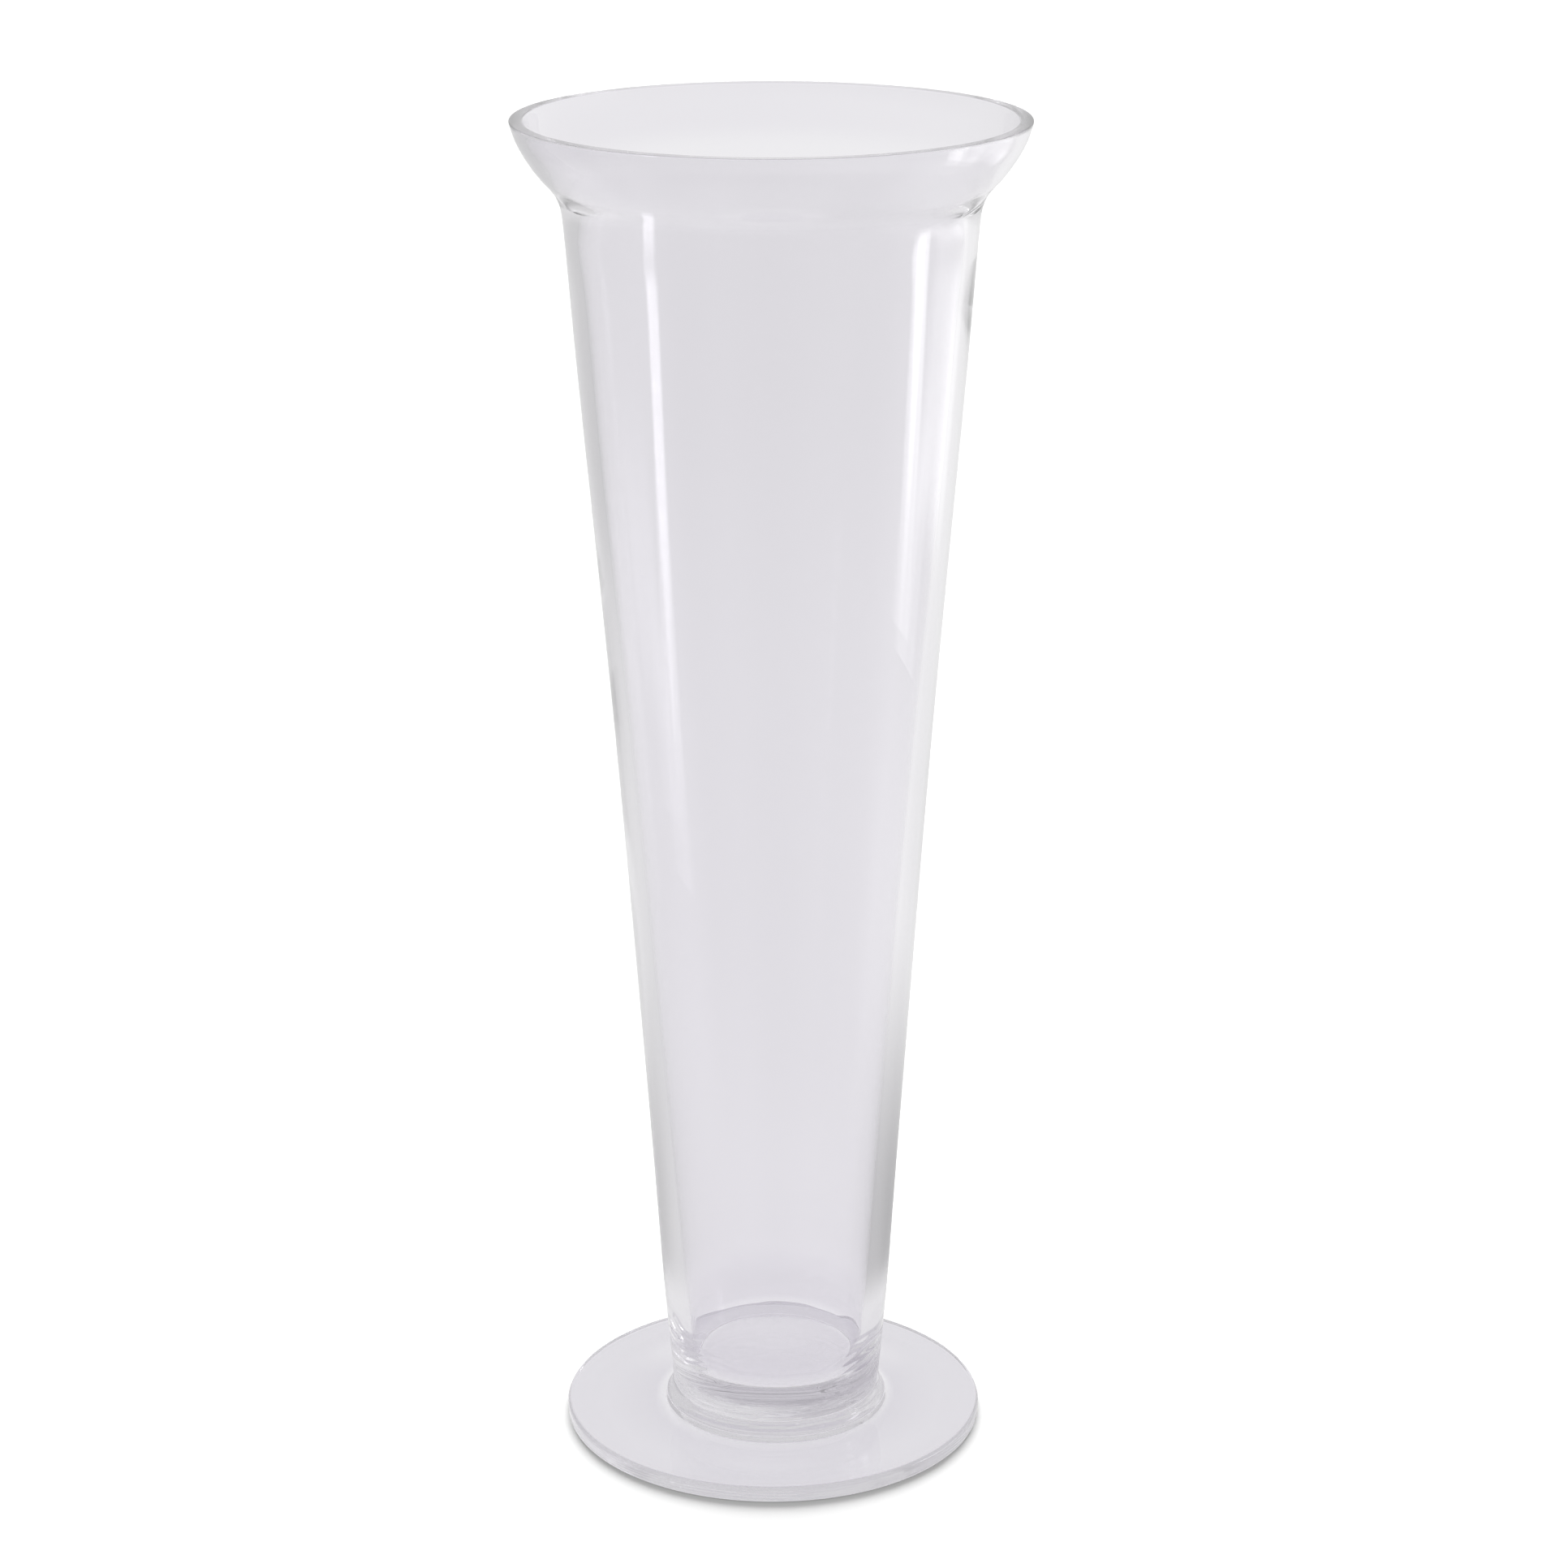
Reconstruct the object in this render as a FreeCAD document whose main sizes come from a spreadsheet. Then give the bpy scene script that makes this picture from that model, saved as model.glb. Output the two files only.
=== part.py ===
import FreeCAD, Part
import os
import Sketcher

# Clear glass trumpet vase, blown by hand and hot joined from three gathers of the same glass:
#   vase_body    the blown bowl: a tall cone on a solid heel and, above a crease, a cup with a cut lip
#   stem_collar  the bit of glass between the bowl and the foot
#   foot_disc    the flat round foot, with a low hub under the collar and a shallow hollow underneath
# The three meet face to face at their welds, and nothing on the vase moves.
# Millimetres, +Z up. The origin is on the vase's axis, on the surface that it stands on.

SHEET = "Sizes"
GLASS_DENSITY_KG_PER_MM3 = 2.5e-6

# name, length in millimetres, what it measures
SIZES = [
    ("vase_height", 400.0, "surface it stands on to lip"),
    ("rim_diameter", 148.4, "outside, at the lip"),
    ("lip_width", 4.0, "flat polished ring of the lip"),
    ("lip_arris", 0.4, "chamfer on both edges of the lip"),
    ("flare_depth", 22.5, "lip down to the crease outside"),
    ("flare_reach", 14.5, "crease out to the rim"),
    ("flare_bow", 1.8, "how far the cup swells out from a straight cone"),
    ("crease_round", 8.0, "radius that softens the crease outside"),
    ("crease_wall", 3.9, "glass across, at the crease"),
    ("bore_crease_rise", 1.6, "crease inside, above the crease outside"),
    ("bore_crease_round", 12.0, "radius that softens the crease inside"),
    ("waist_bow", 1.0, "how far the long flank is drawn in, halfway between hip and crease"),
    ("waist_wall", 4.5, "glass across, at the waist"),
    ("hip_rise", 60.0, "bottom of the bowl up to the hip"),
    ("hip_diameter", 72.4, "outside, at the hip"),
    ("hip_wall", 6.4, "glass across, at the hip"),
    ("heel_diameter", 63.0, "outside, at the bottom of the bowl"),
    ("heel_round", 1.0, "radius round the bottom of the bowl, half of the groove above the collar"),
    ("heel_wall", 6.5, "floor inside, in from the bottom of the bowl"),
    ("heel_thickness", 10.0, "solid glass under the floor inside"),
    ("floor_round", 3.0, "radius round the floor inside"),
    ("collar_height", 3.8, "weld to the foot up to the weld to the bowl"),
    ("collar_stand", 1.3, "collar out past the bottom of the bowl"),
    ("collar_bow", 0.9, "how far the collar bulges between its welds"),
    ("hub_reach", 2.4, "collar out to where the hub runs out on the foot"),
    ("hub_rise", 1.1, "foot up to the weld to the collar"),
    ("hub_scoop", 0.45, "how far the hub's side is hollowed"),
    ("shoulder_reach", 14.8, "hub out to where the top of the foot is level"),
    ("shoulder_rise", 0.4, "level top of the foot up to the hub"),
    ("foot_diameter", 128.5, "outside, at the top edge of the foot"),
    ("foot_thickness", 4.7, "foot at its edge"),
    ("foot_undercut", 1.4, "how far the foot's edge slopes in from top to bottom"),
    ("foot_top_round", 0.7, "radius along the top edge of the foot"),
    ("foot_bottom_round", 1.6, "radius along the bottom edge of the foot"),
    ("rest_ring_width", 6.8, "ring under the foot, in from its bottom edge to the hollow"),
    ("hollow_depth", 0.8, "hollow under the foot, at its centre"),
    ("cut_overrun", 5.0, "how far the cut of the bore runs past the lip"),
]

# A shallow dome is as wide as this share of its rim at half its depth.
DOME_HALF_DEPTH_SHARE = 0.7071

# Places in a sketch that need no length: on the vase's axis, and on the surface it stands on.
AXIS = None
GROUND = None


class Size:
    """A length in millimetres together with the sheet formula that gives it."""

    def __init__(self, number, formula):
        self.number = number
        self.formula = formula

    def __add__(self, other):
        return Size(self.number + other.number, f"({self.formula} + {other.formula})")

    def __sub__(self, other):
        return Size(self.number - other.number, f"({self.formula} - {other.formula})")

    def __mul__(self, share):
        return Size(self.number * share, f"{self.formula} * {share}")

    def __truediv__(self, count):
        return Size(self.number / count, f"{self.formula} / {count}")


class Point:
    """A place in a half section: radius from the axis and height above the ground.

    A point with on_arc isn't a corner: the side between its two neighbours is an arc through it.
    """

    def __init__(self, name, radius, height, on_arc=False):
        self.name = name
        self.radius = radius
        self.height = height
        self.on_arc = on_arc

    def vector(self):
        across = self.radius.number if self.radius else 0
        up = self.height.number if self.height else 0
        return FreeCAD.Vector(across, up, 0)


def halfway(name, first, last, bow, on_arc=False):
    """The point halfway from first to last, moved sideways off the straight line by bow."""
    radius = (first.radius + last.radius) / 2 + bow
    height = (first.height + last.height) / 2
    return Point(name, radius, height, on_arc)


def inset(name, outer, wall):
    """The point inside the bowl, across the wall from an outer one."""
    return Point(name, outer.radius - wall, outer.height)


def make_sheet(doc):
    sheet = doc.addObject("Spreadsheet::Sheet", SHEET)
    for row, (name, length, meaning) in enumerate(SIZES, start=1):
        sheet.set(f"A{row}", name)
        sheet.set(f"B{row}", str(length))
        sheet.set(f"C{row}", meaning)
        sheet.setAlias(f"B{row}", name)
    doc.recompute()
    return {name: Size(sheet.get(name), f"{SHEET}.{name}") for name, length, meaning in SIZES}


def make_body(doc, name):
    body = doc.addObject("PartDesign::Body", name)
    body.Label = name
    return body


def origin_plane(body, role):
    for feature in body.Origin.OriginFeatures:
        if feature.Role == role:
            return feature
    raise ValueError(f"{body.Label} has no {role}")


def place_point(sketch, geometry, end, point):
    """Ties one end of a side, or a point, to the place that its sizes give."""
    across = point.radius
    if across is AXIS:
        sketch.addConstraint(Sketcher.Constraint("PointOnObject", geometry, end, -2))
    else:
        label = f"{point.name}_radius"
        number = sketch.addConstraint(Sketcher.Constraint("DistanceX", -1, 1, geometry, end, across.number))
        sketch.renameConstraint(number, label)
        sketch.setExpression(f"Constraints.{label}", across.formula)
    up = point.height
    if up is GROUND:
        sketch.addConstraint(Sketcher.Constraint("PointOnObject", geometry, end, -1))
    else:
        label = f"{point.name}_height"
        number = sketch.addConstraint(Sketcher.Constraint("DistanceY", -1, 1, geometry, end, up.number))
        sketch.renameConstraint(number, label)
        sketch.setExpression(f"Constraints.{label}", up.formula)


def half_section(body, name, outline):
    """Closed sketch on the body's XZ plane, radius across and height up, through the outline's points."""
    sketch = body.newObject("Sketcher::SketchObject", name)
    sketch.AttachmentSupport = (origin_plane(body, "XZ_Plane"), [""])
    sketch.MapMode = "FlatFace"
    corners = [point for point in outline if not point.on_arc]
    crowns = {before.name: point for before, point in zip(outline, outline[1:]) if point.on_arc}
    sides = []
    for first, last in zip(corners, corners[1:] + corners[:1]):
        start = first.vector()
        stop = last.vector()
        crown = crowns.get(first.name)
        if crown:
            side = sketch.addGeometry(Part.ArcOfCircle(start, crown.vector(), stop))
            mark = sketch.addGeometry(Part.Point(crown.vector()), True)
            place_point(sketch, mark, 1, crown)
            sketch.addConstraint(Sketcher.Constraint("PointOnObject", mark, 1, side))
        else:
            side = sketch.addGeometry(Part.LineSegment(start, stop))
        # A sketch runs every arc anticlockwise, so an arc's own start may be this side's stop.
        own_start = sketch.getPoint(side, 1)
        forwards = own_start.distanceToPoint(start) < own_start.distanceToPoint(stop)
        ends = (1, 2) if forwards else (2, 1)
        sides.append((side, ends))
        place_point(sketch, side, ends[0], first)
    for (side, ends), (following, following_ends) in zip(sides, sides[1:] + sides[:1]):
        meeting = Sketcher.Constraint("Coincident", side, ends[1], following, following_ends[0])
        sketch.addConstraint(meeting)
    return sketch


def revolved(doc, body, kind, name, sketch):
    """A full turn of the sketch about the vase's axis: kind is Revolution, or Groove to cut."""
    feature = body.newObject(f"PartDesign::{kind}", name)
    feature.Profile = sketch
    feature.ReferenceAxis = (sketch, ["V_Axis"])
    doc.recompute()
    return feature


def round_edge(feature, corner):
    """Name of the feature's round edge that lies nearest the outline's corner."""
    centre_height = corner.height.number if corner.height else 0
    nearest_name = None
    nearest_gap = None
    for number, edge in enumerate(feature.Shape.Edges, start=1):
        if edge.Degenerated or not isinstance(edge.Curve, Part.Circle):
            continue
        across = edge.Curve.Radius - corner.radius.number
        up = edge.Curve.Center.z - centre_height
        gap = across ** 2 + up ** 2
        if nearest_gap is None or gap < nearest_gap:
            nearest_name = f"Edge{number}"
            nearest_gap = gap
    return nearest_name


def softened(doc, body, kind, name, base, corners, size):
    """Fillet or Chamfer of the given size on the base's round edges at the corners."""
    feature = body.newObject(f"PartDesign::{kind}", name)
    feature.Base = (base, [round_edge(base, corner) for corner in corners])
    amount = "Radius" if kind == "Fillet" else "Size"
    setattr(feature, amount, size.number)
    feature.setExpression(amount, size.formula)
    doc.recompute()
    return feature


def heights(sizes):
    """The stack from the ground up: every seam of the vase, worked out from the pieces' own sizes."""
    hub_foot = sizes["foot_thickness"] + sizes["shoulder_rise"]
    foot_weld = hub_foot + sizes["hub_rise"]
    bowl_weld = foot_weld + sizes["collar_height"]
    return {
        "hub_foot": hub_foot,
        "foot_weld": foot_weld,
        "bowl_weld": bowl_weld,
        "floor": bowl_weld + sizes["heel_thickness"],
        "hip": bowl_weld + sizes["hip_rise"],
        "crease": sizes["vase_height"] - sizes["flare_depth"],
    }


def make_vase_body(doc, sizes, at):
    """The blown bowl: a turned blank, bored out from the lip to the floor, with every corner softened."""
    body = make_body(doc, "vase_body")
    heel = Point("heel", sizes["heel_diameter"] / 2, at["bowl_weld"])
    hip = Point("hip", sizes["hip_diameter"] / 2, at["hip"])
    rim = Point("rim", sizes["rim_diameter"] / 2, sizes["vase_height"])
    crease = Point("crease", rim.radius - sizes["flare_reach"], at["crease"])
    waist = halfway("waist", hip, crease, sizes["waist_bow"] * -1)
    outside = half_section(body, "outside_section", [
        Point("base_centre", AXIS, at["bowl_weld"]),
        heel,
        hip,
        waist,
        crease,
        halfway("flare", crease, rim, sizes["flare_bow"], on_arc=True),
        rim,
        Point("rim_centre", AXIS, sizes["vase_height"]),
    ])
    blank = revolved(doc, body, "Revolution", "blank", outside)

    floor_edge = Point("floor_edge", heel.radius - sizes["heel_wall"], at["floor"])
    bore_crease_height = crease.height + sizes["bore_crease_rise"]
    bore_crease = Point("bore_crease", crease.radius - sizes["crease_wall"], bore_crease_height)
    lip_edge = inset("lip_edge", rim, sizes["lip_width"])
    above_lip = sizes["vase_height"] + sizes["cut_overrun"]
    inside = half_section(body, "inside_section", [
        Point("floor_centre", AXIS, at["floor"]),
        floor_edge,
        inset("bore_hip", hip, sizes["hip_wall"]),
        inset("bore_waist", waist, sizes["waist_wall"]),
        bore_crease,
        halfway("bore_flare", bore_crease, lip_edge, sizes["flare_bow"], on_arc=True),
        lip_edge,
        Point("above_lip", lip_edge.radius, above_lip),
        Point("above_centre", AXIS, above_lip),
    ])
    hollow = revolved(doc, body, "Groove", "hollow", inside)
    if hollow.Shape.Volume >= blank.Shape.Volume:
        raise ValueError("the bore cuts nothing out of the bowl")

    soft = softened(doc, body, "Fillet", "outer_crease", hollow, [crease], sizes["crease_round"])
    soft = softened(doc, body, "Fillet", "inner_crease", soft, [bore_crease], sizes["bore_crease_round"])
    soft = softened(doc, body, "Fillet", "floor_corner", soft, [floor_edge], sizes["floor_round"])
    soft = softened(doc, body, "Fillet", "heel_corner", soft, [heel], sizes["heel_round"])
    softened(doc, body, "Chamfer", "lip_arrises", soft, [rim, lip_edge], sizes["lip_arris"])
    return body


def make_stem_collar(doc, sizes, at):
    """The bit that joins bowl and foot: a squat barrel between two flat welds."""
    body = make_body(doc, "stem_collar")
    heel_radius = sizes["heel_diameter"] / 2
    low = Point("foot_weld", heel_radius + sizes["collar_stand"], at["foot_weld"])
    high = Point("bowl_weld", heel_radius - sizes["heel_round"], at["bowl_weld"])
    section = half_section(body, "collar_section", [
        Point("low_centre", AXIS, at["foot_weld"]),
        low,
        halfway("bulge", low, high, sizes["collar_bow"], on_arc=True),
        high,
        Point("high_centre", AXIS, at["bowl_weld"]),
    ])
    revolved(doc, body, "Revolution", "collar", section)
    return body


def make_foot_disc(doc, sizes, at):
    """The foot: a flat disc that rises to a scooped hub, undercut at its edge and hollow underneath."""
    body = make_body(doc, "foot_disc")
    top_edge = Point("top_edge", sizes["foot_diameter"] / 2, sizes["foot_thickness"])
    base_edge = Point("base_edge", top_edge.radius - sizes["foot_undercut"], GROUND)
    hollow_radius = base_edge.radius - sizes["rest_ring_width"]
    hub_top = Point("hub_top", sizes["heel_diameter"] / 2 + sizes["collar_stand"], at["foot_weld"])
    hub_foot = Point("hub_foot", hub_top.radius + sizes["hub_reach"], at["hub_foot"])
    section = half_section(body, "foot_section", [
        Point("hollow_centre", AXIS, sizes["hollow_depth"]),
        Point("dome", hollow_radius * DOME_HALF_DEPTH_SHARE, sizes["hollow_depth"] / 2, on_arc=True),
        Point("hollow_edge", hollow_radius, GROUND),
        base_edge,
        top_edge,
        Point("shoulder", hub_foot.radius + sizes["shoulder_reach"], sizes["foot_thickness"]),
        hub_foot,
        halfway("scoop", hub_foot, hub_top, sizes["hub_scoop"] * -1, on_arc=True),
        hub_top,
        Point("hub_centre", AXIS, at["foot_weld"]),
    ])
    disc = revolved(doc, body, "Revolution", "disc", section)
    soft = softened(doc, body, "Fillet", "top_edge_round", disc, [top_edge], sizes["foot_top_round"])
    softened(doc, body, "Fillet", "bottom_edge_round", soft, [base_edge], sizes["foot_bottom_round"])
    return body


def check_document(doc, bodies):
    for item in doc.Objects:
        if "Invalid" in item.State or "Error" in item.State:
            raise ValueError(f"{item.Label} failed: {item.State}")
    for body in bodies:
        if body.Shape.isNull() or not body.Shape.isValid():
            raise ValueError(f"{body.Label} has no valid solid")


def write_parts(bodies):
    os.makedirs("parts", exist_ok=True)
    for body in bodies:
        body.Shape.exportStep(f"parts/{body.Label}.step")
        mass = body.Shape.Volume * GLASS_DENSITY_KG_PER_MM3
        print(f"{body.Label}: {len(body.Shape.Solids)} solid, {mass:.3f} kg")


doc = FreeCAD.newDocument("trumpet_vase")
sizes = make_sheet(doc)
at = heights(sizes)
bodies = [
    make_vase_body(doc, sizes, at),
    make_stem_collar(doc, sizes, at),
    make_foot_disc(doc, sizes, at),
]
doc.recompute()
check_document(doc, bodies)
write_parts(bodies)
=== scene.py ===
"""A clear glass trumpet vase, blown and finished by hand, standing on a plain white floor.

The vase is three gathers of glass that were joined hot: the blown bowl, the joining collar and the round foot.
Each is one closed surface of revolution, worked out as whole arrays, with the small unevenness that hand work
leaves: a slight lean, slow waves, tool rings, wrinkles at the collar and folds along the foot's edge.
Sizes are in metres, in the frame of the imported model, unless a name ends in _mm or _deg.
"""

from __future__ import annotations

import logging
import math
from collections.abc import Sequence
from dataclasses import dataclass, field
from enum import Enum
from typing import TypeAlias

import bpy
import numpy as np
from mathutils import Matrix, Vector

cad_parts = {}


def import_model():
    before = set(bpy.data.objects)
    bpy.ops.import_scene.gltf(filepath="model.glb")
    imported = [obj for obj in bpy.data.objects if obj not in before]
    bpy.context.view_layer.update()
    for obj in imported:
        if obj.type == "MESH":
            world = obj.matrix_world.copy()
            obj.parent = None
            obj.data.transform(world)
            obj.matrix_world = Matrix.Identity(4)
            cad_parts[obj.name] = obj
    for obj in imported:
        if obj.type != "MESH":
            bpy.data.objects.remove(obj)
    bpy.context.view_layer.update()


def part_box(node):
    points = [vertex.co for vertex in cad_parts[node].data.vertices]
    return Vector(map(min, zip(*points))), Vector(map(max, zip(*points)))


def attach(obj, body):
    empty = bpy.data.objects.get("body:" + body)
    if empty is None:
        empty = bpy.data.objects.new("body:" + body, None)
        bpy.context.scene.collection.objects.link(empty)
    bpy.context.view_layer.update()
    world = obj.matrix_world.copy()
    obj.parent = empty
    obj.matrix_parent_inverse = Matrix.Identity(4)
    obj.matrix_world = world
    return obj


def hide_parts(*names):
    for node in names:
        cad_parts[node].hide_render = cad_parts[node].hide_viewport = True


LOG = logging.getLogger("trumpet_vase")
MM = 0.001
TURN = 2.0 * math.pi
# The tint depth of each vertex: the glass's thickness, with painted shade and light in the bowl's heel and over the
# foot.
WALL_AND_SHADE_ATTRIBUTE = "wall_mm"
GLOW_ATTRIBUTE = "panel_glow"

# How many points a straight run, a curved run, a rounded corner and each side of a panel get
STRAIGHT_POINTS = 160
SPLINE_POINTS = 900
ARC_POINTS = 24
PANEL_POINTS = 41
# How far a Bezier curve's handles reach towards the corner to make a quarter circle
ARC_HANDLE = 0.5523
# How many rings the floor has near the vase and beyond, and how many points a ring has
NEAR_RINGS = 25
WIDE_RINGS = 24
RING_POINTS = 97
# A length that counts as nothing
TINY = 1e-9
WHITE = (1.0, 1.0, 1.0, 1.0)

Array: TypeAlias = np.ndarray
Socket: TypeAlias = bpy.types.NodeSocket
Value: TypeAlias = float | tuple[float, ...] | Socket | bpy.types.Node
Span: TypeAlias = tuple[float, float]
Pairs: TypeAlias = tuple[Span, ...]
Table: TypeAlias = tuple[tuple[float, ...], tuple[float, ...]]
Color: TypeAlias = tuple[float, float, float]


class Zone(Enum):
    """The stretch of a piece's outline that a row of its mesh lies on."""

    WELD = 0
    OUTSIDE = 1
    EDGE = 2
    INSIDE = 3


class Finish(Enum):
    """The material slots of a glass piece, in the order in which they're assigned."""

    CLEAR = 0
    WELDED = 1


# Lines and surfaces


def smooth_line(knots: Array, count: int) -> Array:
    """A smooth line through the knots.

    Formula: with t the running chord length, each coordinate is the natural cubic spline of t, whose second
    derivatives m solve h0*m0 + 2*(h0 + h1)*m1 + h1*m2 = 6*(slope1 - slope0) at the inner knots and are 0 at the ends.

    Args:
        knots: points as rows of (radius, height).
        count: how many points the line gets.

    Returns:
        The line's points, count rows of (radius, height).
    """
    step = np.linalg.norm(np.diff(knots, axis=0), axis=1)
    t = np.concatenate([[0.0], np.cumsum(step)])
    n = len(knots)
    system, right = np.eye(n), np.zeros((n, 2))
    slope = np.diff(knots, axis=0) / step[:, None]
    inner = np.arange(1, n - 1)
    system[inner, inner - 1] = step[:-1]
    system[inner, inner] = 2.0 * (step[:-1] + step[1:])
    system[inner, inner + 1] = step[1:]
    right[inner] = 6.0 * np.diff(slope, axis=0)
    bend = np.linalg.solve(system, right)
    u = np.linspace(0.0, t[-1], count)
    k = np.clip(np.searchsorted(t, u, side="right") - 1, 0, n - 2)
    h = step[k][:, None]
    a, b = (t[k + 1] - u)[:, None], (u - t[k])[:, None]
    return (
        (bend[k] * a**3 + bend[k + 1] * b**3) / (6.0 * h)
        + (knots[k] / h - bend[k] * h / 6.0) * a
        + (knots[k + 1] / h - bend[k + 1] * h / 6.0) * b
    )


def arc_length(line: Array) -> Array:
    """The running length of a line of points, from 0 at its first point."""
    return np.concatenate([[0.0], np.cumsum(np.linalg.norm(np.diff(line, axis=0), axis=1))])


def point_at(line: Array, length: float) -> Array:
    """The point of a line at that running length from its start."""
    s = arc_length(line)
    return np.array([np.interp(length, s, line[:, 0]), np.interp(length, s, line[:, 1])])


def trimmed(line: Array, start_cut: float, end_cut: float) -> Array:
    """Shortens a line at both ends.

    Args:
        line: points as rows of (radius, height).
        start_cut: the length to take off its start.
        end_cut: the length to take off its end.

    Returns:
        What is left of the line, with new end points.
    """
    s = arc_length(line)
    kept = (s > start_cut + TINY) & (s < s[-1] - end_cut - TINY)
    return np.vstack([point_at(line, start_cut), line[kept], point_at(line, s[-1] - end_cut)])


def corner_arc(start: Array, corner: Array, end: Array) -> Array:
    """The rounding of a corner.

    Formula: the cubic Bezier curve from start to end whose handles reach ARC_HANDLE of the way to the corner.

    Args:
        start: where the rounding leaves the first line.
        corner: the sharp corner.
        end: where the rounding meets the second line.

    Returns:
        The rounding's inner points, without start and end.
    """
    t = np.linspace(0.0, 1.0, ARC_POINTS)[1:-1, None]
    first = start + ARC_HANDLE * (corner - start)
    second = end + ARC_HANDLE * (corner - end)
    return (1 - t) ** 3 * start + 3 * (1 - t) ** 2 * t * first + 3 * (1 - t) * t**2 * second + t**3 * end


@dataclass
class Run:
    """One smooth stretch of an outline, how far the corner at its end is cut back, and how dense its rows are."""

    knots: Sequence[Span]
    zone: Zone
    end_round: float = 0.0
    detail: float = 1.0

    def line(self) -> Array:
        """The stretch as dense points: straight between two knots, a spline through more.

        Returns:
            Rows of (radius, height).
        """
        knots = np.asarray(self.knots, float)
        if len(knots) == 2:
            return knots[0] + np.linspace(0.0, 1.0, STRAIGHT_POINTS)[:, None] * (knots[1] - knots[0])
        return smooth_line(knots, SPLINE_POINTS)


@dataclass
class Outline:
    """A half section from pole to pole, as runs that meet at rounded corners."""

    runs: list[Run]

    def rows(self, count: int, bend_share: float) -> tuple[Array, Array]:
        """The outline as mesh rows, closer together where it bends and where a run asks for detail.

        Formula: a row stands at each equal step of pace(s), the running sum of (1 - bend_share) * detail * ds,
        divided by its total, plus bend_share of the running sum of the turning angle, divided by its total.

        Args:
            count: how many rows, poles included.
            bend_share: the share of the rows that the bends get.

        Returns:
            The rows as (radius, height) pairs, and the zone number of each.
        """
        points, zones, detail = self._joined()
        heading = np.diff(points, axis=0)
        angle = np.unwrap(np.arctan2(heading[:, 1], heading[:, 0]))
        turning = np.abs(np.concatenate([[0.0], np.diff(angle), [0.0]]))
        length = np.concatenate([[0.0], np.linalg.norm(heading, axis=1)])
        even = np.cumsum(length * detail)
        bent = np.cumsum(turning)
        pace = (1.0 - bend_share) * even / even[-1] + bend_share * bent / bent[-1]
        where = np.interp(np.linspace(0.0, 1.0, count), pace, np.arange(len(pace)))
        rows = np.stack([np.interp(where, np.arange(len(pace)), points[:, c]) for c in (0, 1)], axis=1)
        return rows, zones[np.rint(where).astype(int)]

    def _joined(self) -> tuple[Array, Array, Array]:
        """Joins the runs and rounds their corners, which never count as fused.

        Returns:
            The dense points, and the zone number and the detail of each.
        """
        lines = [run.line() for run in self.runs]
        parts: list[tuple[Array, Array, Array]] = []
        cut = 0.0
        for place, (run, line) in enumerate(zip(self.runs, lines)):
            end_cut = 0.0 if run is self.runs[-1] else run.end_round
            kept = trimmed(line, cut, end_cut)
            if parts and cut == 0.0:
                kept = kept[1:]
            parts.append((kept, np.full(len(kept), run.zone.value), np.full(len(kept), run.detail)))
            if end_cut:
                after = self.runs[place + 1]
                arc = corner_arc(kept[-1], line[-1], point_at(lines[place + 1], end_cut))
                first_half = np.arange(len(arc)) < len(arc) // 2
                sides = [max(side.zone.value, Zone.OUTSIDE.value) for side in (run, after)]
                parts.append((arc, np.where(first_half, *sides), np.full(len(arc), max(run.detail, after.detail))))
            cut = end_cut
        points, zones, detail = zip(*parts)
        return np.vstack(points), np.concatenate(zones), np.concatenate(detail)


def eased(value: Array | float, low: float, high: float) -> Array:
    """Smooth step. Formula: with t = (value - low) / (high - low) held between 0 and 1, it is t * t * (3 - 2 * t)."""
    t = np.clip((np.asarray(value, float) - low) / (high - low), 0.0, 1.0)
    return t * t * (3.0 - 2.0 * t)


def band(value: Array, low: float, high: float, fade: float) -> Array:
    """1 between low and high, falling smoothly to 0 over fade on both sides."""
    return eased(value, low - fade, low) * (1.0 - eased(value, high, high + fade))


@dataclass(frozen=True)
class Wander:
    """The slow unevenness of hand work, round the axis and along the outline.

    Formula: the sum over k of strength * share_k * cos(turns_k * angle + TURN * place * rate_k + start_k), where the
    starts, the rates and their signs are drawn from the seed.
    """

    strength: float
    turns: tuple[int, ...]
    wavelength: float
    seed: int

    def at(self, angle: Array, place: Array) -> Array:
        """The offset at each angle and place along the outline.

        Args:
            angle: angles round the axis, in radians.
            place: places along the outline, of a shape that broadcasts with angle.

        Returns:
            Offsets in the unit of strength.
        """
        rng = np.random.default_rng(self.seed)
        start = rng.uniform(0.0, TURN, len(self.turns))
        rate = rng.uniform(-1.0, 1.0, len(self.turns)) / self.wavelength
        share = 1.0 / np.sqrt(1.0 + np.arange(len(self.turns)))
        waves = [
            share[k] * np.cos(self.turns[k] * angle + TURN * place * rate[k] + start[k])
            for k in range(len(self.turns))
        ]
        return self.strength * np.sum(waves, axis=0)


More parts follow.
